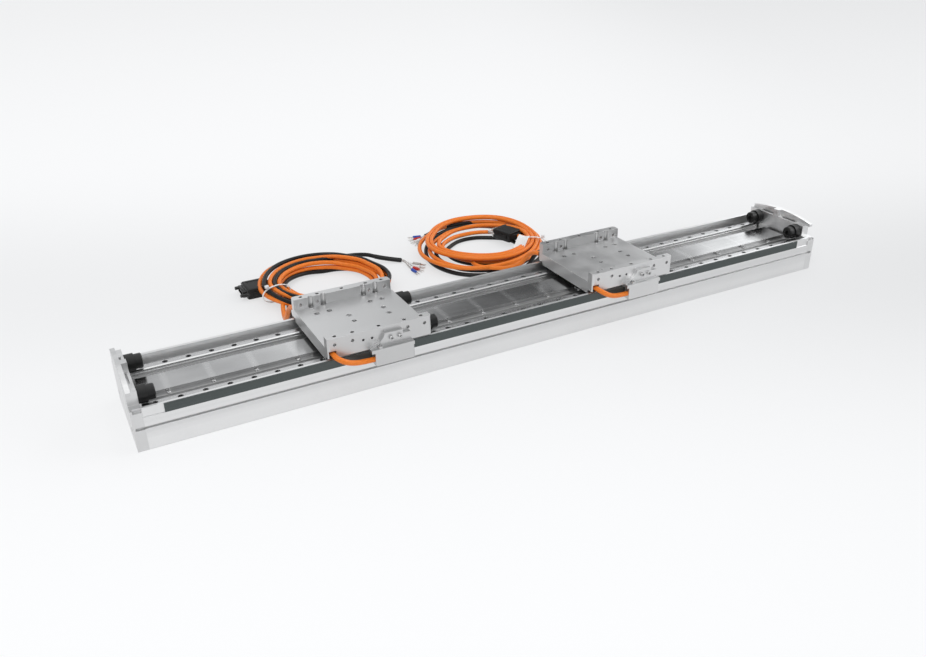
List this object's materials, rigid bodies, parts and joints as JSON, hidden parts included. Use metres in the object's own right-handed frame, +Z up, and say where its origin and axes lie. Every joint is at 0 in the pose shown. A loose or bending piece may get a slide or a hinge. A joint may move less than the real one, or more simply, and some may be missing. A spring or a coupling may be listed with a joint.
{
  "type": "linear motor module",
  "caption": "Linear motor stage: extruded base with a magnet track between two guide rails, carrying independent carriages with scale readers and coiled cables.",
  "frame": {"origin": "centre of the base's underside, between its two end blocks", "axes": "X along travel, Y across the base with the scale tape and readers on the -Y side, Z up"},
  "size_m": [0.912, 0.4013, 0.0725],
  "materials": {
    "anodised_extrusion": "clear anodised, fine lengthwise grain",
    "machined_aluminium": "milled and bead blasted",
    "carriage_aluminium": "light bead blasted, clear anodised",
    "ground_rail": "ground",
    "yoke_steel": "nickel plated",
    "magnet_plating": "nickel plated",
    "stainless_cover": "bright rolled, faint handling marks",
    "scale_tape": "dark grey green, smooth",
    "screw_steel": "bright socket heads",
    "forcer_resin": "cast resin",
    "block_steel": "ground",
    "black_plastic": "moulded, fine texture",
    "bumper_rubber": "semi-gloss moulded rubber",
    "orange_jacket": "smooth flexible jacket, satin",
    "black_jacket": "smooth flexible jacket, satin",
    "terminal_metal": "tinned fork with coloured sleeve"
  },
  "bodies": {
    "base": {"base_extrusion": "anodised_extrusion", "end_block_left": "machined_aluminium", "end_block_right": "machined_aluminium", "end_block_screws": "screw_steel", "rail_front": "ground_rail", "rail_back": "ground_rail", "magnet_yoke": "yoke_steel", "magnets": "magnet_plating", "magnet_cover": "stainless_cover", "scale_tape": "scale_tape", "bumper_left_front": "bumper_rubber", "bumper_left_back": "bumper_rubber", "bumper_right_front": "bumper_rubber", "bumper_right_back": "bumper_rubber", "signal_lead_a": "orange_jacket", "power_lead_a": "black_jacket", "power_tail_a": "black_jacket", "connector_a": "black_plastic", "terminals_a": "terminal_metal", "coil_a": "orange_jacket", "signal_lead_b": "orange_jacket", "power_lead_b": "black_jacket", "power_tail_b": "black_jacket", "connector_b": "black_plastic", "terminals_b": "terminal_metal", "coil_b": "orange_jacket"},
    "carriage_a": {"table_plate_a": "carriage_aluminium", "side_plate_front_a": "carriage_aluminium", "side_plate_back_a": "carriage_aluminium", "carriage_screws_a": "screw_steel", "forcer_a": "forcer_resin", "guide_block_front_left_a": "block_steel", "guide_block_front_right_a": "block_steel", "guide_block_back_left_a": "block_steel", "guide_block_back_right_a": "block_steel", "block_end_caps_a": "black_plastic", "reader_bracket_a": "carriage_aluminium", "reader_head_a": "carriage_aluminium", "reader_screws_a": "screw_steel", "reader_cable_a": "orange_jacket", "cable_bushing_a": "black_plastic", "bumper_a_front": "bumper_rubber", "bumper_a_back": "bumper_rubber"},
    "carriage_b": {"table_plate_b": "carriage_aluminium", "side_plate_front_b": "carriage_aluminium", "side_plate_back_b": "carriage_aluminium", "carriage_screws_b": "screw_steel", "forcer_b": "forcer_resin", "guide_block_front_left_b": "block_steel", "guide_block_front_right_b": "block_steel", "guide_block_back_left_b": "block_steel", "guide_block_back_right_b": "block_steel", "block_end_caps_b": "black_plastic", "reader_bracket_b": "carriage_aluminium", "reader_head_b": "carriage_aluminium", "reader_screws_b": "screw_steel", "reader_cable_b": "orange_jacket", "cable_bushing_b": "black_plastic"}
  },
  "joints": [
    {"name": "carriage_a_travel", "type": "slide", "parent": "base", "child": "carriage_a", "axis": [1, 0, 0], "range_m": [-0.172, 0.098]},
    {"name": "carriage_b_travel", "type": "slide", "parent": "base", "child": "carriage_b", "axis": [1, 0, 0], "range_m": [-0.098, 0.227]}
  ]
}
